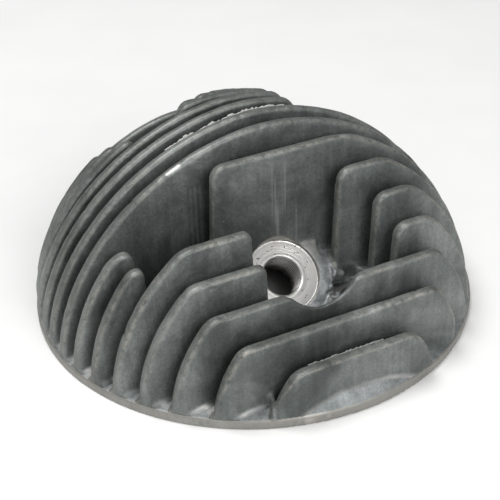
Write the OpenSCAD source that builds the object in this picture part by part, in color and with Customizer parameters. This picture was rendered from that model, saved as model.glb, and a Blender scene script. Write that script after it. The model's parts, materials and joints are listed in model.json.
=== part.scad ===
// Air-cooled cylinder head for a small engine: a round finned casting with a domed
// combustion chamber, an inclined spark plug seat and four stud holes.
// X runs along the fins, -Y is the plug side and Z is up. The origin is the centre of
// the gasket face. All dimensions are in millimetres.

/* [Base] */
// Outer radius of the round base
base_r = 75; // [74.8:0.1:75.4]
// Height of the plain rim at the edge of the base
rim_h = 3; // [2:0.25:3.5]
// Radius where the flange ring meets the deck
flange_inner_r = 53; // [52.5:0.25:54]
// Radius of the recess that locates the head on the cylinder
register_r = 33.5; // [32.5:0.25:33.8]
// Depth of the locating recess
register_depth = 1.5; // [1:0.25:2]

/* [Combustion chamber] */
// Radius of the spherical chamber roof
roof_r = 26; // [25.75:0.25:26.5]
// Height of the centre of the spherical roof
roof_z = -6; // [-7:0.25:-5.5]

/* [Spark plug seat] */
// Radius of the threaded plug hole at its crests
plug_r = 6.4; // [6.2:0.05:6.5]
// Radius of the chamfer at the mouth of the plug hole
plug_chamfer_r = 7.1; // [6.8:0.05:7.3]
// Radius of the turned seat
seat_r = 12; // [11.5:0.25:12.5]
// Depth of the turned seat below the cast pad
seat_depth = 1.25; // [0.5:0.25:1.5]
// Radius of the cast pad
pad_r = 15; // [14.5:0.25:15.5]
// Thickness of the cast pad
pad_t = 7; // [6:0.25:8]
// Radius of the plug boss below the pad
boss_core_r = 10.5; // [10:0.25:11]
// Tilt of the plug axis from vertical, towards -Y
plug_tilt = 41; // [40:0.5:42]
// Radius kept clear around the plug axis for a plug socket
socket_r = 16.4; // [16:0.1:17]

/* [Studs] */
// Radius of the circle that the four stud holes lie on
stud_circle_r = 43; // [42.5:0.25:43.5]
// Radius of a stud hole
stud_hole_r = 4.25; // [4:0.05:4.5]
// Radius of a stud boss
stud_boss_r = 9; // [8.5:0.25:9.25]
// Height of the nut seat on a stud boss
stud_boss_h = 15; // [14:0.5:16]
// Angle of the rear right stud from +X
stud_angle = 32.5; // [31.5:0.5:33.5]

/* [Fins] */
// Distance from one fin to the next
fin_pitch = 8.34; // [8.2:0.02:8.4]
// Position of the front fin
fin_front_y = -69.5; // [-69.7:0.1:-69.3]
// Thickness of a fin at its tip
fin_tip_t = 3.2; // [2.8:0.1:3.6]
// Thickness of a fin at the base
fin_root_t = 4.6; // [4:0.1:5]
// Half width of the rounded envelope that all the fins end on
envelope_r = 75; // [74.5:0.1:75]
// Height of that envelope
envelope_h = 68.9; // [68:0.1:70]
// Fullness of its shoulders behind the centre, where 2 is an ellipse
envelope_power = 1.87; // [1.85:0.01:2]
// Extra fullness that the shoulders gain towards the front edge
front_power = 0.3; // [0.2:0.05:0.35]
// Reach of the fins on the +X side, against the -X side
right_reach = 0.965; // [0.96:0.005:1]
// Drop of the envelope for each millimetre behind the centre
rear_drop = 0.055; // [0:0.005:0.08]
// Height of the level top of the front fin
first_cap_z = 18.7; // [17.5:0.1:19]
// Rise of the level top from each front fin to the next
cap_rise = 7.31; // [7.2:0.01:7.4]
// Rounding where a level top meets the end of a fin
cap_round = 2; // [1:0.5:4]
// Lean of the cast fin ends at a gap, in degrees
end_lean = 2; // [0:0.5:3]

/* [Hidden] */

$fn = 96;
far = 200;            // past the whole part, for cutting shapes
eps = 0.01;           // makes a cut pass just beyond a surface

// Top of the casting between the fins, as [radius, height]
floor_profile = [[base_r, rim_h], [66, 5.5], [54, 11], [44, 16.5], [30, 22.5], [15, 26.8], [0, 28]];

// The plug axis leaves the seat centre upwards and forwards
seat_centre = [-2.6, -27.2, 21];
bore_depth = 15;      // from the seat to past the chamber roof
seat_cut_h = 9;       // lets the turned seat notch the foot of the fin behind it
socket_h = 60;        // past the tops of the fins

// Directions of the studs: rear right, rear left, front left, front right
stud_angles = [for (turn = [0, 81.5, 180, 261.5]) stud_angle + turn];

// Each fin's solid stretches along X, front to rear. END runs out to the envelope.
END = 99;
fin_spans = [
    [[-END, END]],
    [[-END, END]],
    [[-END, END]],
    [[-END, -16.2], [26.6, END]],
    [[-END, -16.5], [23.9, END]],
    [[-END, -48.6], [14.8, END]],
    [[-END, -48.6], [-25, END]],
    [[-END, END]],
    [[-END, END]],
    [[-END, 21.7], [51.6, END]],
    [[-END, 22.2], [50, END]],
    [[-END, -29.5], [-18.5, 22.5], [48.4, END]],
    [[-END, -32.7], [-4.9, 22.9], [46.5, END]],
    [[-END, -35.5], [-4.9, 28.8], [42.5, END]],
    [[-END, -33.6], [-7.2, END]],
    [[-END, END]],
    [[-END, END]]
];
capped_fins = 7;      // the front fins have level tops
socket_fin = 2;       // the fin that the socket clearance dips into
seat_fin = 6;         // the fin that stands behind the plug seat
stub_cap_z = 42;      // top of the short fin ends outside the stud wells
left_stubs = [5, 6];
right_stubs = [9, 10, 11, 12, 13];
stub_x = 40;          // a stub lies outside this distance
arc_steps = 20;       // points along the envelope on each side of a fin
round_steps = 4;      // points round a capped corner

function fin_y(i) = fin_front_y + fin_pitch * i;
function cap_z(i) = first_cap_z + cap_rise * i;
function half_length(y) = sqrt(pow(envelope_r, 2) - y * y);
function fin_height(y) = (envelope_h - rear_drop * max(0, y)) * half_length(y) / envelope_r;

function power_at(y) = envelope_power + front_power * max(0, -y) / envelope_r;

// A point on the envelope above the X axis, at angle a from +X
function on_envelope(a, y) = [
    half_length(y) * pow(cos(a), 2 / power_at(y)),
    fin_height(y) * pow(sin(a), 2 / power_at(y))
];

// The angle at which the envelope reaches height z
function angle_at(z, y) = asin(pow(z / fin_height(y), power_at(y) / 2));

// The envelope from the base up to angle top, on the +X side
function side_arc(top, y) = [for (i = [0:arc_steps]) on_envelope(top * i / arc_steps, y)];

// A corner from p to r, rounded towards q
function corner(p, q, r) = [
    for (i = [1:round_steps])
        let (t = i / (round_steps + 1)) (1 - t) * (1 - t) * p + 2 * t * (1 - t) * q + t * t * r
];

// One side of a fin with a level top at height cap
function capped_side(cap, y) =
    let (
        start = angle_at(cap - cap_round, y),
        edge = on_envelope(angle_at(cap, y), y),
        level_end = [edge[0] - cap_round, cap]
    )
    concat(side_arc(start, y), corner(on_envelope(start, y), edge, level_end), [level_end]);

function side(i) = i < capped_fins ? capped_side(cap_z(i), fin_y(i)) : side_arc(90 - eps, fin_y(i));
function stretch_x(points, by) = [for (p = points) [by * p[0], p[1]]];
function reverse(points) = [for (i = [len(points) - 1:-1:0]) points[i]];
function outline(i) = concat(stretch_x(side(i), right_reach), reverse(stretch_x(side(i), -1)));

// Cutting shapes. Neighbouring pieces are cut by the same ones, so they meet face to face.

// Everything below the top of the casting between the fins
module below_floor() {
    rotate_extrude()
        polygon(concat([[0, -far], [far, -far], [far, rim_h]], floor_profile));
}

module stud_position(angle) {
    rotate([0, 0, angle])
        translate([stud_circle_r, 0, 0])
            children();
}

module stud_columns() {
    for (angle = stud_angles)
        stud_position(angle)
            translate([0, 0, -1])
                cylinder(r = stud_boss_r, h = far);
}

module on_plug_axis() {
    translate(seat_centre)
        rotate([plug_tilt, 0, 0])
            children();
}

// The plug boss up to height top: a pad that is square at the back, on a round core
module plug_column(top) {
    on_plug_axis() {
        translate([0, 0, -pad_t])
            cylinder(r = pad_r, h = pad_t + top);
        translate([-pad_r, 0, -pad_t])
            cube([2 * pad_r, pad_r, pad_t + top]);
        translate([0, 0, -bore_depth])
            cylinder(r = boss_core_r, h = bore_depth);
    }
}

// The room for a plug socket above the pad
module socket_space() {
    on_plug_axis()
        translate([0, 0, seat_depth])
            cylinder(r = socket_r, h = socket_h);
}

module seat_space() {
    on_plug_axis()
        cylinder(r = seat_r, h = seat_cut_h);
}

module plug_hole() {
    on_plug_axis() {
        translate([0, 0, -bore_depth - 1])
            cylinder(r = plug_r, h = bore_depth + 2);
        translate([0, 0, plug_r - plug_chamfer_r])
            cylinder(r1 = plug_r, r2 = plug_chamfer_r, h = plug_chamfer_r - plug_r + eps);
    }
}

module chamber_space() {
    translate([0, 0, roof_z])
        sphere(r = roof_r);
}

// The gaps between the solid stretches of a fin, a little wider at the top
module fin_gaps(spans) {
    lean = far * tan(end_lean);
    for (j = [1:1:len(spans) - 1])
        let (from = spans[j - 1][1], to = spans[j][0])
            rotate([90, 0, 0])
                translate([0, 0, -far / 2])
                    linear_extrude(far)
                        polygon([[from, 0], [to, 0], [to + lean, far], [from - lean, far]]);
}

// Everything above the stubs, on the side of the part that sign gives
module above_stubs(sign) {
    translate([sign * (stub_x + far / 2), 0, stub_cap_z + far / 2])
        cube([far, far, far], center = true);
}

// A whole fin down to the base plane, with draft on both faces
module fin_blank(i) {
    height = fin_height(fin_y(i));
    translate([0, fin_y(i), 0])
        intersection() {
            rotate([90, 0, 0])
                translate([0, 0, -fin_root_t])
                    linear_extrude(2 * fin_root_t)
                        polygon(outline(i));
            rotate([90, 0, 90])
                translate([0, 0, -far / 2])
                    linear_extrude(far)
                        polygon([
                            [-fin_root_t / 2, 0],
                            [fin_root_t / 2, 0],
                            [fin_tip_t / 2, height],
                            [-fin_tip_t / 2, height]
                        ]);
        }
}

// Pieces of the casting

module core_ring(outer, inner) {
    intersection() {
        below_floor();
        difference() {
            cylinder(r = outer, h = far);
            translate([0, 0, -1])
                cylinder(r = inner, h = far + 2);
        }
    }
}

module base_flange() {
    color("dimgray")
        core_ring(base_r, flange_inner_r);
}

module deck() {
    color("dimgray")
        difference() {
            core_ring(flange_inner_r, register_r);
            stud_columns();
            plug_column(far);
            socket_space();
        }
}

// The dome starts above the gasket face, which leaves the locating recess inside the deck
module chamber_dome() {
    color("gray")
        difference() {
            intersection() {
                below_floor();
                translate([0, 0, register_depth])
                    cylinder(r = register_r, h = far);
            }
            chamber_space();
            stud_columns();
            plug_column(far);
            socket_space();
        }
}

module plug_boss() {
    color("silver")
        difference() {
            intersection() {
                plug_column(seat_depth);
                union() {
                    below_floor();
                    translate([-far, fin_y(seat_fin) - 2 * far, 0])
                        cube([2 * far, 2 * far, far]);
                }
            }
            difference() {
                fin_blank(seat_fin);
                below_floor();
            }
            seat_space();
            plug_hole();
            chamber_space();
            stud_columns();
        }
}

module stud_boss(angle) {
    color("gray")
        stud_position(angle)
            difference() {
                cylinder(r = stud_boss_r, h = stud_boss_h);
                translate([0, 0, -1])
                    cylinder(r = stud_hole_r, h = stud_boss_h + 2);
            }
}

module stud_boss_rear_right() {
    stud_boss(stud_angles[0]);
}

module stud_boss_rear_left() {
    stud_boss(stud_angles[1]);
}

module stud_boss_front_left() {
    stud_boss(stud_angles[2]);
}

module stud_boss_front_right() {
    stud_boss(stud_angles[3]);
}

module cooling_fin(i) {
    color(i < capped_fins ? "darkgray" : "lightslategray")
        difference() {
            fin_blank(i);
            below_floor();
            fin_gaps(fin_spans[i]);
            stud_columns();
            if (i == socket_fin)
                socket_space();
            if (i == seat_fin)
                seat_space();
            if (len(search(i, left_stubs)) > 0)
                above_stubs(-1);
            if (len(search(i, right_stubs)) > 0)
                above_stubs(1);
        }
}

base_flange();
deck();
chamber_dome();
plug_boss();
stud_boss_rear_right();
stud_boss_rear_left();
stud_boss_front_left();
stud_boss_front_right();
cooling_fin(0);  // cooling_fin_01
cooling_fin(1);  // cooling_fin_02
cooling_fin(2);  // cooling_fin_03
cooling_fin(3);  // cooling_fin_04
cooling_fin(4);  // cooling_fin_05
cooling_fin(5);  // cooling_fin_06
cooling_fin(6);  // cooling_fin_07
cooling_fin(7);  // cooling_fin_08
cooling_fin(8);  // cooling_fin_09
cooling_fin(9);  // cooling_fin_10
cooling_fin(10);  // cooling_fin_11
cooling_fin(11);  // cooling_fin_12
cooling_fin(12);  // cooling_fin_13
cooling_fin(13);  // cooling_fin_14
cooling_fin(14);  // cooling_fin_15
cooling_fin(15);  // cooling_fin_16
cooling_fin(16);  // cooling_fin_17
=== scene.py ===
"""Looks for an air-cooled cylinder head: a dark die casting, worn fin tips, a bright plug seat.

The casting is one rounded solid in reality. Here its shape is a distance field in millimetres,
which gives every fin its rounded tip, root fillet and small casting faults. The fins, the base
flange, the deck, the dome and the plug boss are each meshed from that field. The stud bosses lie
in the deck's piece, and the turned nut seats on them stand for their nodes. The plug's seat with
its thread is turned too.
"""

import json
import math

import bpy
import numpy as np
import openvdb as vdb
from mathutils import Matrix, Vector


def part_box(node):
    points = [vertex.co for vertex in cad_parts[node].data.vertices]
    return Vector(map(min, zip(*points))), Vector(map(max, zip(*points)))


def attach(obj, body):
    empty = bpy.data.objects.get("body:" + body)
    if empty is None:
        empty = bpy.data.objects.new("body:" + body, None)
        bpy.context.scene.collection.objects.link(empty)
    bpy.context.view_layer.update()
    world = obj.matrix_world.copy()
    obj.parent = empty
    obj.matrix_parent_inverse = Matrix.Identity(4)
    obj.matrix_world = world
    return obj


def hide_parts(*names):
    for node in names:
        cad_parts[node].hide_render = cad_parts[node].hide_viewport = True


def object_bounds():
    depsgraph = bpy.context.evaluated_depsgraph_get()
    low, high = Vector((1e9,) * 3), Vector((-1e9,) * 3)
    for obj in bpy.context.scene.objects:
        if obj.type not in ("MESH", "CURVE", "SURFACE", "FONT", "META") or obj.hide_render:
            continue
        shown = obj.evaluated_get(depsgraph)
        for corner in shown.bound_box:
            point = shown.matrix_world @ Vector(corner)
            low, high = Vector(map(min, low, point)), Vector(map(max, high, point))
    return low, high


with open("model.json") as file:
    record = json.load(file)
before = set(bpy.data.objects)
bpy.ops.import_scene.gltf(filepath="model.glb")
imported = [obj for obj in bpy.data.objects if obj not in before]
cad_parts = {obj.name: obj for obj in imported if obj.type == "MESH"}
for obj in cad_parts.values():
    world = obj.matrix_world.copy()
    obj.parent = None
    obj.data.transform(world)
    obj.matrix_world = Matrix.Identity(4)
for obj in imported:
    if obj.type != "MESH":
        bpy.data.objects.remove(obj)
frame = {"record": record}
cad_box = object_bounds()

MM = 0.001
BODY = "root"

# ---------------------------------------------------------------- dimensions, in millimetres

# fins count from 0 here and from 1 in the names of nodes and pieces
FIN_COUNT = 17
FIN_NODES = [f"cooling_fin_{k + 1:02d}" for k in range(FIN_COUNT)]
BASE_R = (cad_box[1][0] - cad_box[0][0]) / 2 / MM
ENVELOPE_R = 75.0
ENVELOPE_H = 68.9
ENVELOPE_POWER = 1.87
FRONT_POWER = 0.3
RIGHT_REACH = 0.965
REAR_DROP = 0.055
FIN_ROOT_T = 4.6
FIN_TIP_T = 3.2
TIP_ROUND = 1.15
CAP_ROUND = 2.0
END_ROUND = 4.5
CORNER_ROUND = 2.4
END_LEAN = math.tan(math.radians(2))
STUB_CAP = 42.0
ROOT_FILLET = 1.7
APRON_FILLET = 0.7
FOOT_INSET = 0.5
FOOT_DEPTH = 0.6
FOOT_EDGE = 0.02
CAPPED_FINS = 7
SOCKET_FIN = 2
SEAT_FIN = 6

# top of the casting between the fins: radius, height
FLOOR = np.array(
    [[75, 3], [66, 5.5], [54, 11], [44, 16.5], [30, 22.5], [15, 26.8], [0, 28]], float
)[::-1]
RIM_H = FLOOR[-1, 1]
RIM_ROUND = 0.5
APRON_SLOPE = 1.7
APRON_TOP = 7.2
APRON_TILT = -0.03
APRON_INSET = 0.3

# solid stretches of each fin along X: left end, right end, level top, end rounding. None runs out
# to the envelope.
SPANS = {k: [(None, None, None, END_ROUND)] for k in range(FIN_COUNT)}
SPANS[3] = [(None, -16.2, None, CORNER_ROUND), (26.6, None, None, END_ROUND)]
SPANS[4] = [(None, -16.5, None, CORNER_ROUND), (23.9, None, None, END_ROUND)]
SPANS[5] = [(None, -48.6, STUB_CAP, END_ROUND), (14.8, None, None, END_ROUND)]
SPANS[6] = [(None, -48.6, STUB_CAP, END_ROUND), (-25, None, None, END_ROUND)]
SPANS[9] = [(None, 21.7, None, END_ROUND), (51.6, None, STUB_CAP, CORNER_ROUND)]
SPANS[10] = [(None, 22.2, None, END_ROUND), (50, None, STUB_CAP, CORNER_ROUND)]
SPANS[11] = [
    (None, -29.5, None, END_ROUND),
    (-18.5, 22.5, None, END_ROUND),
    (48.4, None, STUB_CAP, CORNER_ROUND),
]
SPANS[12] = [
    (None, -32.7, None, END_ROUND),
    (-4.9, 22.9, None, END_ROUND),
    (46.5, None, STUB_CAP, CORNER_ROUND),
]
SPANS[13] = [
    (None, -35.5, None, END_ROUND),
    (-4.9, 28.8, None, END_ROUND),
    (42.5, None, STUB_CAP, CORNER_ROUND),
]
SPANS[14] = [(None, -33.6, None, END_ROUND), (-7.2, None, None, END_ROUND)]

PLUG_HOLE_R = 6.4
THREAD_R = 7.0
THREAD_PITCH = 1.25
CHAMFER_R = 6.9
SEAT_R = 12.0
SEAT_DEPTH = 1.25
SEAT_CUT = 9.0
PAD_R = 15.0
PAD_DEPTH = 8.0
SOCKET_R = 16.4
PLUG_MOUNT_DEPTH = 6.0
STUD_HOLE_R = 4.25
STUD_BOSS_R = 9.0
STUD_BOSS_H = 15.0
NUT_CLEARANCE = 0.6
NUT_FACE_R = 8.3
NUT_EDGE_R = 8.4
REGISTER_R = 33.5
REGISTER_DEPTH = 1.5
ROOF_R = 26.0
ROOF_Z = -6.0
DECK_R = 53.0

# how far the field is cut back behind the turned pieces
SEAT_GAP = 0.4
BORE_GAP = 0.8
BORE_DEPTH = 20.0
STUD_GAP = 0.4

VOXEL = 0.5
BAND = 3 * VOXEL
NEAR = 2 * VOXEL


def mount(name):
    return next(m for m in frame["record"]["mounts"] if m["name"] == name)


plug_axis = Vector(mount("spark_plug_hole")["axis"]).normalized()
seat_centre = Vector(mount("spark_plug_hole")["pos_m"]) / MM + plug_axis * PLUG_MOUNT_DEPTH
plug_side = Vector((1, 0, 0))
plug_up = plug_axis.cross(plug_side)
stud_names = ["rear_right", "rear_left", "front_left", "front_right"]
studs = [Vector(mount("stud_hole_" + s)["pos_m"]) / MM for s in stud_names]


def node_box(node):
    low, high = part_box(node)
    return np.array(low) / MM, np.array(high) / MM


FIN_Y = [float(sum(b[1] for b in node_box(n)) / 2) for n in FIN_NODES]
FIN_TOP = [float(node_box(n)[1][2]) for n in FIN_NODES]

# ---------------------------------------------------------------- fields


def round_max(a, b, r):
    """Intersection of two fields with its outside corner rounded to radius r."""
    return np.minimum(np.maximum(a, b), -r) + np.hypot(np.maximum(r + a, 0), np.maximum(r + b, 0))


def round_min(a, b, r):
    """Union of two fields with a fillet of radius r in its inside corner."""
    return np.maximum(np.minimum(a, b), r) - np.hypot(np.maximum(r - a, 0), np.maximum(r - b, 0))


def cut(a, b, r=0.0):
    return round_max(a, -b, r) if r else np.maximum(a, -b)


def hashed(i, j, k, seed):
    """A repeatable number from 0 to 1 for each lattice point."""
    n = (i * 374761393 + j * 668265263 + k * 2147483647 + seed * 144664871) & 0xFFFFFFFF
    n = ((n ^ (n >> 13)) * 1274126177) & 0xFFFFFFFF
    return ((n ^ (n >> 16)) & 0xFFFF).astype(np.float32) / 65535


def noise(x, y, z, scale, seed):
    """Smooth noise from -1 to 1 with features about scale millimetres across."""
    parts = [np.asarray(c, np.float32) / scale for c in (x, y, z)]
    whole = [np.floor(p).astype(np.int64) for p in parts]
    blend = [(p - w) for p, w in zip(parts, whole)]
    blend = [t * t * (3 - 2 * t) for t in blend]
    total = 0.0
    for di in (0, 1):
        for dj in (0, 1):
            for dk in (0, 1):
                weight = 1.0
                for t, d in zip(blend, (di, dj, dk)):
                    weight = weight * (t if d else 1 - t)
                total = total + weight * hashed(whole[0] + di, whole[1] + dj, whole[2] + dk, seed)
    return total * 2 - 1


def fin_size(k):
    """Half length and height of the envelope at fin k."""
    a = math.sqrt(ENVELOPE_R**2 - FIN_Y[k] ** 2)
    return a, (ENVELOPE_H - REAR_DROP * max(0, FIN_Y[k])) * a / ENVELOPE_R


def fin_power(k):
    return ENVELOPE_POWER + FRONT_POWER * max(0, -FIN_Y[k]) / ENVELOPE_R


def envelope(k, x, z):
    """Distance to the fin envelope, close to exact near its edge."""
    a, b = fin_size(k)
    a = np.where(x > 0, a * RIGHT_REACH, a)
    across = np.abs(x) / a
    tall = np.maximum(z, 0) / b
    n = fin_power(k)
    reach = np.maximum((across**n + tall**n) ** (1 / n), 0.05)
    slope = reach ** (1 - n) * np.hypot(across ** (n - 1) / a, tall ** (n - 1) / b)
    return (reach - 1) / np.maximum(slope, 1e-4)


# the floor's profile, smoothed over SMOOTHING samples to each side
SMOOTHING = 8
floor_r = np.arange(0, 90, 0.5)
kernel = np.exp(-np.linspace(-2, 2, 2 * SMOOTHING + 1) ** 2)
floor_line = np.pad(np.interp(floor_r, FLOOR[:, 0], FLOOR[:, 1]), SMOOTHING, mode="edge")
floor_line = np.convolve(floor_line, kernel / kernel.sum(), mode="valid")
floor_slope = np.gradient(floor_line, floor_r)


def floor_field(r, z):
    height = np.interp(r, floor_r, floor_line)
    slope = np.interp(r, floor_r, floor_slope)
    return (z - height) / np.sqrt(1 + slope**2)


def apron_height(x, r):
    """Height of the skirt in front of the first fin."""
    rising = -RIM_H - APRON_SLOPE * (BASE_R - APRON_INSET - r)
    return -round_max(rising, -APRON_TOP - APRON_TILT * x, 1.0)


def plug_frame(x, y, z):
    """Sideways, up the slope and along the plug axis, all from the seat's centre."""
    d = (x - seat_centre.x, y - seat_centre.y, z - seat_centre.z)
    return [sum(c * a for c, a in zip(d, axis)) for axis in (plug_side, plug_up, plug_axis)]


# die scores on one fin's front face: place, lower and upper end
GROOVED_FIN = 7
GROOVES = [(-30.4, 28, 46), (-27.4, 26, 53), (-25.8, 26, 54), (-24.2, 26, 54)]

# cast lumps by the front right nut seat: place and size
LUMPS = [
    (13.4, -30.4, 18.6, 2.9),
    (10.2, -33.2, 16.8, 2.3),
    (16.2, -31.3, 17.6, 2.0),
    (10.8, -30.6, 19.2, 1.9),
]

# cast tab that joins the feet of the two front fins: place, half sizes and turn
TAB = (-26.6, -66.4, 4.2)
TAB_SIZE = (0.7, 3.4, 3.6)
TAB_TURN = math.radians(-22)


def core_solid(x, y, z):
    """The casting without its fins, before machining."""
    r = np.hypot(x, y)
    f = round_max(floor_field(r, z), r - BASE_R, RIM_ROUND)
    for s in studs:
        away = np.hypot(x - s.x, y - s.y)
        boss = round_max(away - STUD_BOSS_R, z - STUD_BOSS_H, 0.7)
        f = round_min(f, boss, 2.0)
        f = cut(f, round_max(away - STUD_BOSS_R - NUT_CLEARANCE, STUD_BOSS_H - z, 1.0), 0.6)
    u, v, w = plug_frame(x, y, z)
    away = np.hypot(u, v)
    pad = np.where(v < 0, away, np.abs(u)) - PAD_R
    pad = round_max(pad, w - SEAT_DEPTH, 0.7)
    pad = np.maximum(pad, y - FIN_Y[SEAT_FIN])
    f = round_min(f, np.maximum(pad, -w - PAD_DEPTH), 1.2)
    for cx, cy, cz, size in LUMPS:
        f = round_min(f, np.sqrt((x - cx) ** 2 + (y - cy) ** 2 + (z - cz) ** 2) - size, 0.8)
    f = cut(f, np.maximum(away - SOCKET_R, SEAT_DEPTH - w), 0.7)
    along = (x - TAB[0]) * math.cos(TAB_TURN) + (y - TAB[1]) * math.sin(TAB_TURN)
    over = (y - TAB[1]) * math.cos(TAB_TURN) - (x - TAB[0]) * math.sin(TAB_TURN)
    tab = round_max(np.abs(along) - TAB_SIZE[0], np.abs(over) - TAB_SIZE[1], 0.5)
    f = round_min(f, round_max(tab, z - TAB[2] - TAB_SIZE[2], 0.5), 0.8)
    apron = (z - apron_height(x, r)) / math.hypot(1, APRON_SLOPE)
    f = np.minimum(f, np.maximum(apron, y - FIN_Y[0]))
    f = np.maximum(f, r - BASE_R)
    beside = (away > SEAT_R) & (away < 25) & (np.abs(w) < 5) & (u > 5) & (v < 9)
    rough = np.broadcast_to(beside, f.shape) & (np.abs(f) < 2)
    full = [np.broadcast_to(c, f.shape)[rough] for c in (x, y, z)]
    f[rough] += 0.45 * noise(*full, 3.4, 77) + 0.25 * noise(*full, 1.6, 78)
    return f


def machined(f, x, y, z):
    """Takes the machined holes and faces out of a field."""
    u, v, w = plug_frame(x, y, z)
    away = np.hypot(u, v)
    f = cut(f, np.maximum(np.maximum(away - SEAT_R, -w - SEAT_GAP), w - SEAT_CUT))
    f = cut(f, np.maximum(away - THREAD_R - BORE_GAP, -w - BORE_DEPTH))
    for s in studs:
        f = cut(f, np.hypot(x - s.x, y - s.y) - STUD_HOLE_R - STUD_GAP)
    f = cut(f, np.sqrt(x**2 + y**2 + (z - ROOF_Z) ** 2) - ROOF_R)
    f = cut(f, np.maximum(np.hypot(x, y) - REGISTER_R, z - REGISTER_DEPTH))
    return np.maximum(f, -z)


def fin_outline(k, x, z):
    """Distance from a fin's outline in its own plane."""
    edge = envelope(k, x, z)
    if k < CAPPED_FINS:
        edge = round_max(edge, z - FIN_TOP[k], CAP_ROUND)
    best = None
    for left, right, cap, radius in SPANS[k]:
        d = edge
        if left is not None:
            d = round_max(d, left + END_LEAN * z - x, radius)
        if right is not None:
            d = round_max(d, x - right + END_LEAN * z, radius)
        if cap is not None:
            d = round_max(d, z - cap, radius)
        best = d if best is None else np.minimum(best, d)
    return best


def fin_half(k, z):
    height = fin_size(k)[1]
    return FIN_ROOT_T / 2 - (FIN_ROOT_T - FIN_TIP_T) / 2 * np.clip(z / height, 0, 1)


def fin_field(k, x, y, z):
    across = np.abs(y - FIN_Y[k]) - fin_half(k, z)
    f = round_max(fin_outline(k, x, z), across, TIP_ROUND)
    if k == SOCKET_FIN:
        u, v = plug_frame(x, y, z)[:2]
        f = cut(f, np.hypot(u, v) - SOCKET_R, 1.2)
    if k == GROOVED_FIN:
        front = fin_half(k, z) - (FIN_Y[k] - y)
        for place, low, high in GROOVES:
            tall = np.maximum(low - z, z - high) / 4
            f = cut(f, np.maximum(np.hypot(x - place, front) - 0.45, tall))
    return f


# ---------------------------------------------------------------- meshing


def grid(low, high):
    axes = [
        np.arange(a - 2.5 * VOXEL, b + 3 * VOXEL, VOXEL, dtype=np.float32)
        for a, b in zip(low, high)
    ]
    return axes, np.meshgrid(*axes, indexing="ij", sparse=True)


def field_mesh(name, field, axes):
    """Turns a field on a grid into a closed mesh in metres."""
    volume = vdb.FloatGrid(BAND)
    volume.copyFromArray(np.clip(field, -BAND, BAND).astype(np.float32))
    points, quads = volume.convertToQuads(isovalue=0.0)
    points = points * VOXEL + np.array([a[0] for a in axes])
    mesh = bpy.data.meshes.new(name)
    mesh.vertices.add(len(points))
    mesh.vertices.foreach_set("co", (points * MM).astype(np.float32).ravel())
    mesh.loops.add(len(quads) * 4)
    mesh.loops.foreach_set("vertex_index", quads[:, ::-1].astype(np.int32).ravel())
    mesh.polygons.add(len(quads))
    mesh.polygons.foreach_set("loop_start", np.arange(0, len(quads) * 4, 4, dtype=np.int32))
    mesh.update(calc_edges=True)
    mesh.shade_smooth()
    return mesh, points


def piece(name, mesh, nodes, materials):
    obj = bpy.data.objects.new(name, mesh)
    bpy.context.scene.collection.objects.link(obj)
    for m in materials:
        mesh.materials.append(m)
    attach(obj, BODY)
    if nodes:
        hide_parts(*nodes)


def keep(mesh, name, values):
    mesh.attributes.new(name, "FLOAT", "POINT").data.foreach_set("value", values.astype(np.float32))


# ---------------------------------------------------------------- materials


class Shader:
    """A node material with short calls for the nodes used here."""

    def __init__(self, name):
        self.material = bpy.data.materials.new(name)
        self.material.use_nodes = True
        self.nodes = self.material.node_tree.nodes
        self.links = self.material.node_tree.links
        self.surface = self.nodes["Principled BSDF"]
        self.place = self.nodes.new("ShaderNodeTexCoord").outputs["Object"]

    def put(self, value, socket):
        if isinstance(value, bpy.types.NodeSocket):
            self.links.new(value, socket)
        else:
            socket.default_value = value

    def stretched(self, scale):
        node = self.nodes.new("ShaderNodeMapping")
        self.put(self.place, node.inputs["Vector"])
        node.inputs["Scale"].default_value = scale
        return node.outputs["Vector"]

    def noise(self, scale, detail, rough=0.5, vector=None, distortion=0.0):
        node = self.nodes.new("ShaderNodeTexNoise")
        self.put(vector or self.place, node.inputs["Vector"])
        node.inputs["Scale"].default_value = scale
        node.inputs["Detail"].default_value = detail
        node.inputs["Roughness"].default_value = rough
        node.inputs["Distortion"].default_value = distortion
        return node.outputs["Fac"]

    def ramp(self, value, low, high, to_low=0.0, to_high=1.0):
        node = self.nodes.new("ShaderNodeMapRange")
        node.interpolation_type = "SMOOTHSTEP"
        self.put(value, node.inputs["Value"])
        limits = {"From Min": low, "From Max": high, "To Min": to_low, "To Max": to_high}
        for key, number in limits.items():
            node.inputs[key].default_value = number
        return node.outputs["Result"]

    def math(self, kind, a, b):
        node = self.nodes.new("ShaderNodeMath")
        node.operation = kind
        self.put(a, node.inputs[0])
        self.put(b, node.inputs[1])
        return node.outputs[0]

    def mix(self, amount, a, b, kind="MIX"):
        node = self.nodes.new("ShaderNodeMix")
        node.data_type = "RGBA"
        node.blend_type = kind
        self.put(amount, node.inputs[0])
        self.put(a, node.inputs[6])
        self.put(b, node.inputs[7])
        return node.outputs[2]

    def attribute(self, name):
        node = self.nodes.new("ShaderNodeAttribute")
        node.attribute_name = name
        return node.outputs["Fac"]

    def bump(self, height, distance, strength, normal=None):
        node = self.nodes.new("ShaderNodeBump")
        self.put(height, node.inputs["Height"])
        node.inputs["Distance"].default_value = distance
        node.inputs["Strength"].default_value = strength
        if normal:
            self.put(normal, node.inputs["Normal"])
        return node.outputs["Normal"]

    def finish(self, colour, roughness, normal, metallic):
        self.put(colour, self.surface.inputs["Base Color"])
        self.put(roughness, self.surface.inputs["Roughness"])
        self.put(normal, self.surface.inputs["Normal"])
        self.surface.inputs["Metallic"].default_value = metallic
        return self.material


def grey(v):
    return (v, v, v, 1)


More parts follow.
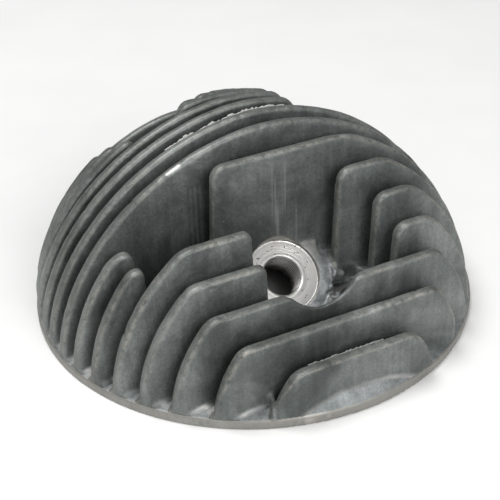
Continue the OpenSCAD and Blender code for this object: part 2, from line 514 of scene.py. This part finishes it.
def cast_metal(name, dark, light):
    """Grey die-cast aluminium: mottled, with streaks along the draw, worn brownish on its edges,
    and carrying painted highlights and painted shade from the mesh's attributes.
    """
    s = Shader(name)
    patches = s.noise(30, 4, 0.62, distortion=0.8)
    smears = s.noise(1.0, 4, 0.6, vector=s.stretched((55, 160, 40)), distortion=1.2)
    grain = s.noise(1300, 3, 0.6)
    streaks = s.noise(1.0, 3, 0.6, vector=s.stretched((420, 420, 14)))
    colour = s.mix(s.ramp(patches, 0.32, 0.68), dark, light)
    for pattern, start, end, low, high, amount in (
        (smears, 0.35, 0.65, 0.36, 0.63, 0.7),
        (streaks, 0.36, 0.68, 0.40, 0.60, 0.45),
        (grain, 0.3, 0.7, 0.38, 0.62, 0.7),
    ):
        shade = s.mix(s.ramp(pattern, start, end), grey(low), grey(high))
        colour = s.mix(amount, colour, shade, "OVERLAY")
    wear = s.attribute("wear")
    rubbed = s.math("MULTIPLY", wear, s.ramp(s.noise(430, 3, 0.7), 0.35, 0.62, 0.15, 0.95))
    colour = s.mix(rubbed, colour, (0.33, 0.315, 0.275, 1))
    stains = s.noise(540, 2, 0.6, vector=s.stretched((1, 1.2, 0.8)))
    sooty = s.math("MULTIPLY", wear, s.ramp(stains, 0.57, 0.62))
    colour = s.mix(s.math("MULTIPLY", sooty, 0.7), colour, grey(0.04))
    specks = s.ramp(s.noise(950, 1, 0.4), 0.765, 0.785)
    colour = s.mix(s.math("MULTIPLY", specks, 0.35), colour, (0.45, 0.44, 0.42, 1))
    pores = s.ramp(s.noise(760, 2, 0.5, vector=s.stretched((1, 1.3, 0.9))), 0.25, 0.225)
    colour = s.mix(s.math("MULTIPLY", pores, 0.6), colour, grey(0.02))
    # near-white marks: ripped flash, scratches, a nick and rubbed patches, together with painted
    # highlights, painted light and a painted reflection
    bright_marks = s.attribute("bright")
    colour = s.mix(bright_marks, colour, (0.78, 0.77, 0.75, 1))
    # machined metal on the seat cutter's wall and the rim, with painted light on the pad's top and
    # a painted highlight on the rim's top edge
    colour = s.mix(s.attribute("bare_and_lit"), colour, (0.27, 0.257, 0.232, 1))
    # painted shade: the colour goes almost black, and the specular almost off, in the painted
    # recesses of the fins, the chamber and the plug's bore
    colour = s.mix(s.attribute("painted_shade"), colour, grey(0.0015))
    matt = s.ramp(grain, 0.2, 0.8, 0.42, 0.58)
    roughness = s.math("SUBTRACT", matt, s.math("MULTIPLY", bright_marks, 0.12))
    s.put(s.ramp(s.attribute("painted_shade"), 0, 1, 0.5, 0.02), s.surface.inputs["Specular IOR Level"])
    normal = s.bump(s.noise(150, 3, 0.5), 0.0003, 0.4)
    normal = s.bump(grain, 0.00005, 0.5, normal)
    normal = s.bump(s.math("SUBTRACT", rubbed, s.math("ADD", pores, sooty)), 0.00008, 0.5, normal)
    return s.finish(colour, roughness, normal, 0.45)


def turned_metal(name, pitch, tint, top):
    """Turned aluminium with a lathe tool's rings, read from each point's turning radius."""
    s = Shader(name)
    turning = s.nodes.new("ShaderNodeCombineXYZ")
    s.put(s.attribute("turning"), turning.inputs[0])
    rings = s.noise(1 / pitch, 3, 0.75, vector=turning.outputs[0])
    broad = s.noise(0.2 / pitch, 2, 0.5, vector=turning.outputs[0])
    stains = s.noise(160, 3, 0.6, distortion=0.4)
    colour = s.mix(s.ramp(rings, 0.3, 0.7), tint, top)
    banded = s.math("MULTIPLY", s.ramp(broad, 0.5, 0.64), 0.14)
    colour = s.mix(banded, colour, (0.30, 0.285, 0.26, 1))
    stained = s.math("MULTIPLY", s.ramp(stains, 0.5, 0.75), 0.35)
    colour = s.mix(stained, colour, (0.42, 0.40, 0.36, 1))
    nicks = s.ramp(s.noise(900, 2, 0.5, vector=s.stretched((1, 1.4, 0.7))), 0.665, 0.70)
    colour = s.mix(s.math("MULTIPLY", nicks, 0.75), colour, (0.07, 0.06, 0.05, 1))
    # painted shade: almost black deep in the bore and at the thread's roots
    colour = s.mix(s.attribute("painted_shade"), colour, (0.014, 0.011, 0.009, 1))
    roughness = s.ramp(s.math("ADD", rings, stains), 0.6, 1.4, 0.28, 0.46)
    height = s.math("ADD", rings, s.math("MULTIPLY", broad, 0.3))
    normal = s.bump(s.math("SUBTRACT", height, nicks), 0.00012, 0.8)
    return s.finish(colour, roughness, normal, 0.9)


fin_metal = cast_metal("cast_fin", (0.082, 0.092, 0.089, 1), (0.195, 0.209, 0.203, 1))
# painted light: the core's copy of the cast metal is about twice as light as the fins', for its
# up-facing surfaces
lit_core_metal = cast_metal("cast_core", (0.165, 0.180, 0.182, 1), (0.330, 0.348, 0.350, 1))
seat_metal = turned_metal("turned_seat", 0.00028, (0.48, 0.47, 0.45, 1), (0.88, 0.87, 0.85, 1))
face_metal = turned_metal("turned_face", 0.00035, (0.20, 0.20, 0.195, 1), (0.42, 0.42, 0.41, 1))

# ---------------------------------------------------------------- the fins


def roughened(field, x, y, z, seed, amount=0.07):
    """Small waves and lumps that a worn die leaves, only near the surface."""
    near = np.abs(field) < NEAR
    full = [np.broadcast_to(c, field.shape)[near] for c in (x, y, z)]
    field[near] += amount * noise(*full, 7.0, seed) + 0.5 * amount * noise(*full, 2.2, seed + 1)
    return field


def smoothstep(v, low, high):
    t = np.clip((v - low) / (high - low), 0, 1)
    return t * t * (3 - 2 * t)


def window(v, low, high, soft):
    return smoothstep(v, low, low + soft) * smoothstep(-v, -high, soft - high)


def chipped(field, k, x, y, z):
    """Knocks small chips out of the edges of a tip."""
    tip = (fin_outline(k, x, z) > -2) & (np.abs(field) < NEAR)
    full = [np.broadcast_to(c, field.shape)[tip] for c in (x, y, z)]
    field[tip] += 0.9 * np.clip(noise(*full, 2.4, 30 + k) - 0.6, 0, 0.5)
    return field


def bare_and_lit_metal(x, y, z):
    """How far a point is on the wall that the seat cutter left, from 0 to 1; the upper half of the
    pad's flat top gets painted light as well.
    """
    u, v, w = plug_frame(x, y, z)
    away = np.hypot(u, v)
    wall = smoothstep(-np.abs(away - SEAT_R), -0.35, -0.15)
    wall = wall * smoothstep(w, -0.2, 0.1) * smoothstep(-w, -SEAT_CUT, -7)
    # painted light: the upper half of the pad's flat top is made lighter
    top = smoothstep(-np.abs(w - SEAT_DEPTH), -0.5, -0.2)
    top = top * smoothstep(-away, -SOCKET_R - 3, -SOCKET_R)
    return np.maximum(0.9 * wall, 0.5 * top * smoothstep(v, 0, 5))


def painted_foot_highlight(x, y, z):
    """Painted highlight on the floor between the fins' feet, near the rim at the front left,
    standing in for a reflection.
    """
    r = np.hypot(x, y)
    above = z - np.interp(r, floor_r, floor_line)
    where = window(r, 68, 74.3, 2.5) * smoothstep(-x, 24, 42) * smoothstep(-y, -15, 0)
    where = where * smoothstep(-np.abs(above), -1.5, -0.6)
    return 0.75 * where * smoothstep(noise(x, y, z, 3.0, 83), -0.4, 0.5)


# bright patches on tips, partly rubbed metal and partly painted glints: fin, from x, to x, strength
PATCHES = [
    (7, -38, -27, 0.75),
    (8, -12, -6, 0.3),
    (9, -14, -8, 0.4),
    (6, 20, 26, 0.4),
    (1, 6, 30, 0.2),
]


def fin_piece(k):
    node = FIN_NODES[k]
    low, high = node_box(node)
    reach = np.array([2.0, (ROOT_FILLET if 0 < k < FIN_COUNT - 1 else APRON_FILLET) + 1.0, 0])
    axes, (x, y, z) = grid(low - reach - (0, 0, 1.5), high + reach * (1, 1, 0))
    solid = core_solid(x, y, z)
    core = machined(solid, x, y, z)
    fillet = ROOT_FILLET
    if k == 0:
        fillet = np.where(y < FIN_Y[0], APRON_FILLET, ROOT_FILLET)
    if k == FIN_COUNT - 1:
        fillet = np.where(y > FIN_Y[-1], APRON_FILLET, ROOT_FILLET)
    fin = chipped(np.array(fin_field(k, x, y, z)), k, x, y, z)
    joined = machined(round_min(fin, solid, fillet), x, y, z)
    bounds = np.maximum(-FOOT_DEPTH - core, FOOT_EDGE - (core - joined))
    bounds = np.maximum(bounds, np.hypot(x, y) - BASE_R + FOOT_INSET)
    field = np.maximum(roughened(np.array(joined), x, y, z, 10 + k), bounds)
    mesh, p = field_mesh(f"cast_fin_{k + 1:02d}", field, axes)
    x, y, z = p.T
    depth = -fin_outline(k, x, z)
    patchy = 0.5 + 0.5 * noise(x, y, z, 8, 40 + k)
    across = np.abs(y - FIN_Y[k]) / fin_half(k, z)
    wear = smoothstep(-depth, -0.8 - 0.4 * patchy, -0.1)
    wear = wear * (0.35 + 0.65 * smoothstep(across, 0.4, 0.75))
    rear = k > SEAT_FIN
    keep(mesh, "wear", wear * (0.3 + 0.7 * patchy) * (0.7 if rear else 1))
    # painted shade: each fin darkens the deeper a point lies below its tip, most on the rear fins
    keep(mesh, "painted_shade", (0.2 if rear else 0.05) * smoothstep(depth, 1.5, 14))
    bright = 0 * x
    if k == SEAT_FIN:
        scored = smoothstep(noise(x, 0 * x, 0 * x, 0.45, 71), 0.1, 0.6) * window(x, -7, 8, 2)
        level = z + 9 * noise(x, 0 * x, 0 * x, 1.1, 72)
        bright = 0.2 * scored * window(level, 30, 55, 9) * (y < FIN_Y[k])
    for fin_number, start, end, strength in PATCHES:
        if fin_number == k:
            ragged = noise(x, y, z, 1.5, 60 + k) + 0.6 * noise(x, y, z, 5, 61)
            edge = smoothstep(FIN_Y[k] - y, -0.6, 0.8)
            # bright patches along the tip's front edge, partly rubbed metal and partly painted
            # glints
            worn = strength * window(x, start, end, 4) * smoothstep(ragged, -0.2, 0.4) * edge
            bright = bright + worn * smoothstep(-depth, -0.7, -0.1)
    # painted highlight along the crease at the first fin's foot, and painted light on the apron in
    # front of it
    if k == 0:
        crease = apron_height(x, np.hypot(x, FIN_Y[0] - FIN_ROOT_T / 2))
        facing = smoothstep(FIN_Y[0] - y, 1.0, 1.8)
        crease_highlight = 0.75 + 0.25 * noise(x, 0 * y, z, 2.5, 64)
        crease_highlight = crease_highlight * (0.55 + 0.6 * smoothstep(x, -5, 14))
        bright = bright + 0.26 * facing * smoothstep(-np.abs(z - crease), -1.1, -0.2) * crease_highlight
        apron_lightening = 0.16 + 0.08 * noise(0.2 * x, y, z, 1.2, 65)
        bright = bright + facing * smoothstep(crease - z, -0.3, 0.6) * apron_lightening
    bright = np.maximum(bright, painted_foot_highlight(x, y, z))
    keep(mesh, "bright", np.clip(bright, 0, 1))
    keep(mesh, "bare_and_lit", bare_and_lit_metal(x, y, z))
    piece(mesh.name, mesh, [node], [fin_metal])


for k in range(FIN_COUNT):
    fin_piece(k)


def flash_line(name, k, face, start, end, tall, strength):
    """A thin ragged line of ripped flash standing on one edge of a fin's tip."""
    a, b = fin_size(k)
    n = fin_power(k)
    x = np.arange(start, end, 0.35)
    z = b * (1 - (np.abs(x) / a) ** n) ** (1 / n)
    if k < CAPPED_FINS:
        z = np.minimum(z, FIN_TOP[k])
    lean = np.arctan2(np.gradient(z, x), 1.0)
    ragged = 0.2 + 0.9 * noise(x, 0 * x, 0 * x, 1.9, 90) + 0.7 * noise(x, 0 * x, 0 * x, 0.7, 91)
    height = tall * np.clip(ragged, -0.6, 1) * window(x, start, end, 4) - 0.12
    edge = FIN_Y[k] + face * (fin_half(k, z) - 0.3)
    section = [(-0.35, -1.0 + 0 * x), (0.25, -1.0 + 0 * x), (0.18, height), (-0.16, height)]
    rows = []
    for off, h in section:
        rows.append(np.stack([x - h * np.sin(lean), edge + face * off, z + h * np.cos(lean)], 1))
    points = np.stack(rows, 1).reshape(-1, 3)
    count = len(x)
    faces = [(4 * i + j, 4 * i + (j + 1) % 4, 4 * i + 4 + (j + 1) % 4, 4 * i + 4 + j)
             for i in range(count - 1) for j in range(4)]
    faces += [(3, 2, 1, 0), tuple(4 * count - 4 + j for j in range(4))]
    mesh = bpy.data.meshes.new(name)
    mesh.from_pydata((points * MM).tolist(), [], faces)
    keep(mesh, "bright", np.full(len(points), strength))
    piece(name, mesh, [], [fin_metal])


flash_line("flash_fin_09", 8, 1, -30, 12, 0.55, 0.9)
flash_line("flash_fin_01", 0, 1, -16, 10, 0.35, 0.3)

# ---------------------------------------------------------------- the core


def core_piece(name, nodes, low, high, region, sink):
    """A part of the core. Neighbours lap, and sink keeps each lap just under the next piece."""
    axes, (x, y, z) = grid(low, high)
    solid = roughened(np.array(core_solid(x, y, z)), x, y, z, 70, 0.06) + sink
    field = np.maximum(machined(solid, x, y, z), region(x, y, z))
    mesh, p = field_mesh(name, field, axes)
    x, y, z = p.T
    r = np.hypot(x, y)
    rim = smoothstep(r, BASE_R - 0.75, BASE_R - 0.35) * smoothstep(-z, -RIM_H - 0.6, -RIM_H - 0.1)
    keep(mesh, "wear", 0.4 * rim)
    nick = smoothstep(-np.hypot(x + 16, y + 73), -6.5, -3) * rim
    bright_marks = 0.7 * nick * smoothstep(noise(x, y, z, 2.0, 82), -0.4, 0.3)
    keep(mesh, "bright", np.maximum(bright_marks, painted_foot_highlight(x, y, z)))
    banded = 0.62 + 0.16 * noise(0.15 * x, 0.15 * y, z, 0.9, 84) + 0.2 * noise(x, y, z, 6, 81)
    # the rim's machined band, with a painted highlight along its top edge
    edge = smoothstep(z, RIM_H - 0.7, RIM_H - 0.3)
    keep(mesh, "bare_and_lit", np.maximum(bare_and_lit_metal(x, y, z), rim * np.clip(banded + 0.25 * edge, 0, 1)))
    # painted shade: the chamber's roof and the plug's bore are painted almost black
    roof = np.abs(np.sqrt(r**2 + (z - ROOF_Z) ** 2) - ROOF_R) < 0.4
    u, v, w = plug_frame(x, y, z)
    bore = (np.hypot(u, v) < THREAD_R + 1.2) & (w < -1)
    keep(mesh, "painted_shade", (roof & (z > 0.3)) | bore)
    keep(mesh, "turning", r * MM)
    piece(name, mesh, nodes, [lit_core_metal, face_metal])
    normals = np.zeros(len(mesh.polygons) * 3, np.float32)
    centres = np.zeros(len(mesh.polygons) * 3, np.float32)
    mesh.polygons.foreach_get("normal", normals)
    mesh.polygons.foreach_get("center", centres)
    flat = (normals[2::3] < -0.9) & (centres[2::3] < (REGISTER_DEPTH + 0.3) * MM)
    mesh.polygons.foreach_set("material_index", flat.astype(np.int32))


# how far neighbours lap, how much one is sunk under the next, and how high each grid reaches
LAP = 1.2
SINK = 0.03
FLANGE_TOP = 14
DECK_TOP = 26
DOME_TOP = 30
BOSS_MARGIN = 0.8
BOSS_DEPTH = 10


def in_boss(x, y, z):
    """Distance outside the plug boss's own column."""
    u, v, w = plug_frame(x, y, z)
    column = np.where(v < 0, np.hypot(u, v), np.abs(u)) - PAD_R - BOSS_MARGIN
    return np.maximum(column, -w - BOSS_DEPTH)


def flange_region(x, y, z):
    return DECK_R - LAP - np.hypot(x, y)


def deck_region(x, y, z):
    r = np.hypot(x, y)
    return np.maximum(np.maximum(r - DECK_R, REGISTER_R - r), -in_boss(x, y, z) - LAP)


def dome_region(x, y, z):
    r = np.hypot(x, y)
    recess = REGISTER_DEPTH * 3 - z - 3 * (REGISTER_R - r)
    return np.maximum(np.maximum(r - REGISTER_R - LAP, recess), -in_boss(x, y, z) - LAP)


core_piece("cast_flange", ["base_flange"], (-BASE_R, -BASE_R, 0), (BASE_R, BASE_R, FLANGE_TOP),
           flange_region, 3 * SINK)
core_piece("cast_deck", ["deck"], (-DECK_R, -DECK_R, 0), (DECK_R, DECK_R, DECK_TOP),
           deck_region, 2 * SINK)
core_piece("cast_dome", ["chamber_dome"], (-REGISTER_R - LAP, -REGISTER_R - LAP, 0),
           (REGISTER_R + LAP, REGISTER_R + LAP, DOME_TOP), dome_region, SINK)
core_piece("cast_plug_boss", ["plug_boss"], *node_box("plug_boss"), in_boss, 0)

# ---------------------------------------------------------------- turned parts

TURNS = 160


def turned_piece(name, nodes, rows, twist, origin, axes, material):
    """A closed turned shape from rows of (radius, height). twist may vary a row's radius."""
    angles = np.linspace(0, 2 * math.pi, TURNS, endpoint=False)
    side, up, along = (np.array(a) for a in axes)
    points = []
    radii = []
    painted_shade = []
    for radius, height in rows:
        r = twist(radius, height, angles)
        groove = np.clip((r - PLUG_HOLE_R) / (THREAD_R - PLUG_HOLE_R), 0, 1)
        flat = np.outer(r * np.cos(angles), side) + np.outer(r * np.sin(angles), up)
        points.append(np.array(origin) + flat + height * along)
        radii.append(r + 0.4 * height)
        # painted shade in the plug's bore: darker with depth and at the roots of the thread
        deep = 0.12 + 0.8 * smoothstep(-height, 5, 12) + 1.2 * smoothstep(groove, 0.25, 0.9)
        painted_shade.append(np.clip(deep, 0, 1) if radius == PLUG_HOLE_R else np.zeros(TURNS))
    points = np.concatenate(points)
    count = len(rows)
    faces = []
    for i in range(count):
        for j in range(TURNS):
            a, b = i * TURNS + j, i * TURNS + (j + 1) % TURNS
            c, d = (i + 1) % count * TURNS + (j + 1) % TURNS, (i + 1) % count * TURNS + j
            faces.append((a, b, c, d))
    mesh = bpy.data.meshes.new(name)
    mesh.from_pydata((points * MM).tolist(), [], faces)
    mesh.shade_smooth()
    mesh.set_sharp_from_angle(angle=math.radians(35))
    keep(mesh, "turning", np.concatenate(radii) * MM)
    keep(mesh, "painted_shade", np.concatenate(painted_shade))
    piece(name, mesh, nodes, [material])


def threaded(radius, height, angles):
    """The hole's wall swells out to the thread's root and back once a pitch."""
    if radius != PLUG_HOLE_R:
        return np.full(TURNS, radius)
    phase = (height / THREAD_PITCH - angles / (2 * math.pi)) % 1
    fade = np.clip((-height - 0.25) / 0.4, 0, 1)
    return radius + fade * (THREAD_R - PLUG_HOLE_R) * (0.5 - 0.5 * np.cos(2 * math.pi * phase))


def plain(radius, height, angles):
    return np.full(TURNS, radius)


# the seat's face, with two fine grooves and the burr at its rim, and the back that nobody sees
THREAD_END = -12.2
SEAT_LIFT = 0.03
SEAT_BACK = -0.6
SLEEVE_R = THREAD_R + 0.75
thread_rows = [(PLUG_HOLE_R, h) for h in np.arange(THREAD_END, -0.3, THREAD_PITCH / 12)]
seat_rows = thread_rows + [
    (CHAMFER_R - 0.2, -0.12), (CHAMFER_R, 0.0),
    (CHAMFER_R + 0.1, SEAT_LIFT), (CHAMFER_R + 0.25, SEAT_LIFT),
    (7.9, SEAT_LIFT), (7.95, 0.01), (8.0, SEAT_LIFT), (8.05, SEAT_LIFT),
    (9.1, SEAT_LIFT), (9.15, SEAT_LIFT), (9.2, 0.0), (9.25, SEAT_LIFT), (9.3, SEAT_LIFT),
    (11.65, SEAT_LIFT), (11.75, SEAT_LIFT), (11.85, 0.1), (11.97, 0.12),
    (11.97, SEAT_BACK), (SLEEVE_R, SEAT_BACK), (SLEEVE_R, THREAD_END),
]
turned_piece("turned_seat", ["plug_boss"], seat_rows, threaded, seat_centre,
             (plug_side, plug_up, plug_axis), seat_metal)

NUT_SLEEVE_R = STUD_HOLE_R + 0.35
NUT_SLEEVE_END = 0.2
nut_rows = [
    (STUD_HOLE_R, NUT_SLEEVE_END), (STUD_HOLE_R, STUD_BOSS_H - 0.5),
    (STUD_HOLE_R + 0.5, STUD_BOSS_H + 0.02), (NUT_FACE_R, STUD_BOSS_H + 0.02),
    (NUT_EDGE_R, STUD_BOSS_H - 0.1), (NUT_EDGE_R, STUD_BOSS_H - 1),
    (NUT_SLEEVE_R, STUD_BOSS_H - 1), (NUT_SLEEVE_R, NUT_SLEEVE_END),
]
upright = ((1, 0, 0), (0, 1, 0), (0, 0, 1))
for label, stud in zip(stud_names, studs):
    turned_piece("nut_seat_" + label, ["stud_boss_" + label], nut_rows, plain, (stud.x, stud.y, 0),
                 upright, face_metal)

# ---------------------------------------------------------------- floor, light and camera

floor = bpy.data.objects.new("floor", bpy.data.meshes.new("floor"))
floor.data.from_pydata([(-4, -4, 0), (4, -4, 0), (4, 4, 0), (-4, 4, 0)], [], [(0, 1, 2, 3)])
bpy.context.scene.collection.objects.link(floor)
pale = Shader("pale_floor")
tone = pale.mix(pale.noise(30, 2), (0.82, 0.82, 0.815, 1), (0.87, 0.87, 0.865, 1))
weave = pale.bump(pale.noise(600, 2), 0.0001, 0.2)
floor.data.materials.append(pale.finish(tone, 0.85, weave, 0.0))


def soft_light(name, place, size, power):
    lamp = bpy.data.lights.new(name, "AREA")
    lamp.shape = "DISK"
    lamp.size = size
    lamp.energy = power
    obj = bpy.data.objects.new(name, lamp)
    obj.location = place
    obj.rotation_euler = (Vector((0, 0, 0.02)) - Vector(place)).to_track_quat("-Z", "Y").to_euler()
    bpy.context.scene.collection.objects.link(obj)


soft_light("overhead", (-0.25, 0.15, 1.05), 0.5, 8.0)
soft_light("front", (0.05, -0.95, 0.6), 0.6, 5.0)

# the room glows softly, brightest towards GLOW_SIDE
GLOW_SIDE = (-0.3, -0.87, 0.4)
GLOW_LOW = 0.20
GLOW_HIGH = 0.80
world = bpy.data.worlds.new("studio")
world.use_nodes = True
sky = world.node_tree
direction = sky.nodes.new("ShaderNodeTexCoord").outputs["Generated"]
toward = sky.nodes.new("ShaderNodeVectorMath")
toward.operation = "DOT_PRODUCT"
toward.inputs[1].default_value = GLOW_SIDE
sky.links.new(direction, toward.inputs[0])
glow = sky.nodes.new("ShaderNodeMapRange")
glow.interpolation_type = "SMOOTHSTEP"
glow.inputs["From Min"].default_value = 0.2
glow.inputs["From Max"].default_value = 1.0
glow.inputs["To Min"].default_value = GLOW_LOW
glow.inputs["To Max"].default_value = GLOW_HIGH
sky.links.new(toward.outputs["Value"], glow.inputs["Value"])
sky.nodes["Background"].inputs["Color"].default_value = (1, 1, 1, 1)
sky.links.new(glow.outputs["Result"], sky.nodes["Background"].inputs["Strength"])
bpy.context.scene.world = world
bpy.context.scene.view_settings.view_transform = "Standard"

AZIMUTH = math.radians(-25.81)
ELEVATION = math.radians(33.26)
ROLL = math.radians(1.63)
DISTANCE = 5.276 * BASE_R * MM
AIM_SIDE = -0.010 * BASE_R * MM
AIM_UP = 0.162 * BASE_R * MM
SENSOR_WIDTH = 36
LENS = 81.06

back = Vector((
    math.sin(AZIMUTH) * math.cos(ELEVATION),
    -math.cos(AZIMUTH) * math.cos(ELEVATION),
    math.sin(ELEVATION),
))
right = Vector((math.cos(AZIMUTH), math.sin(AZIMUTH), 0))
up = back.cross(right)
tilted_right = right * math.cos(ROLL) - up * math.sin(ROLL)
tilted_up = right * math.sin(ROLL) + up * math.cos(ROLL)
camera = bpy.data.objects.new("camera", bpy.data.cameras.new("camera"))
camera.data.sensor_width = SENSOR_WIDTH
camera.data.lens = LENS
camera.data.clip_start = 0.01
turn = Matrix((tilted_right, tilted_up, back)).transposed().to_4x4()
camera.matrix_world = Matrix.Translation(back * DISTANCE + right * AIM_SIDE + up * AIM_UP) @ turn
bpy.context.scene.collection.objects.link(camera)
bpy.context.scene.camera = camera
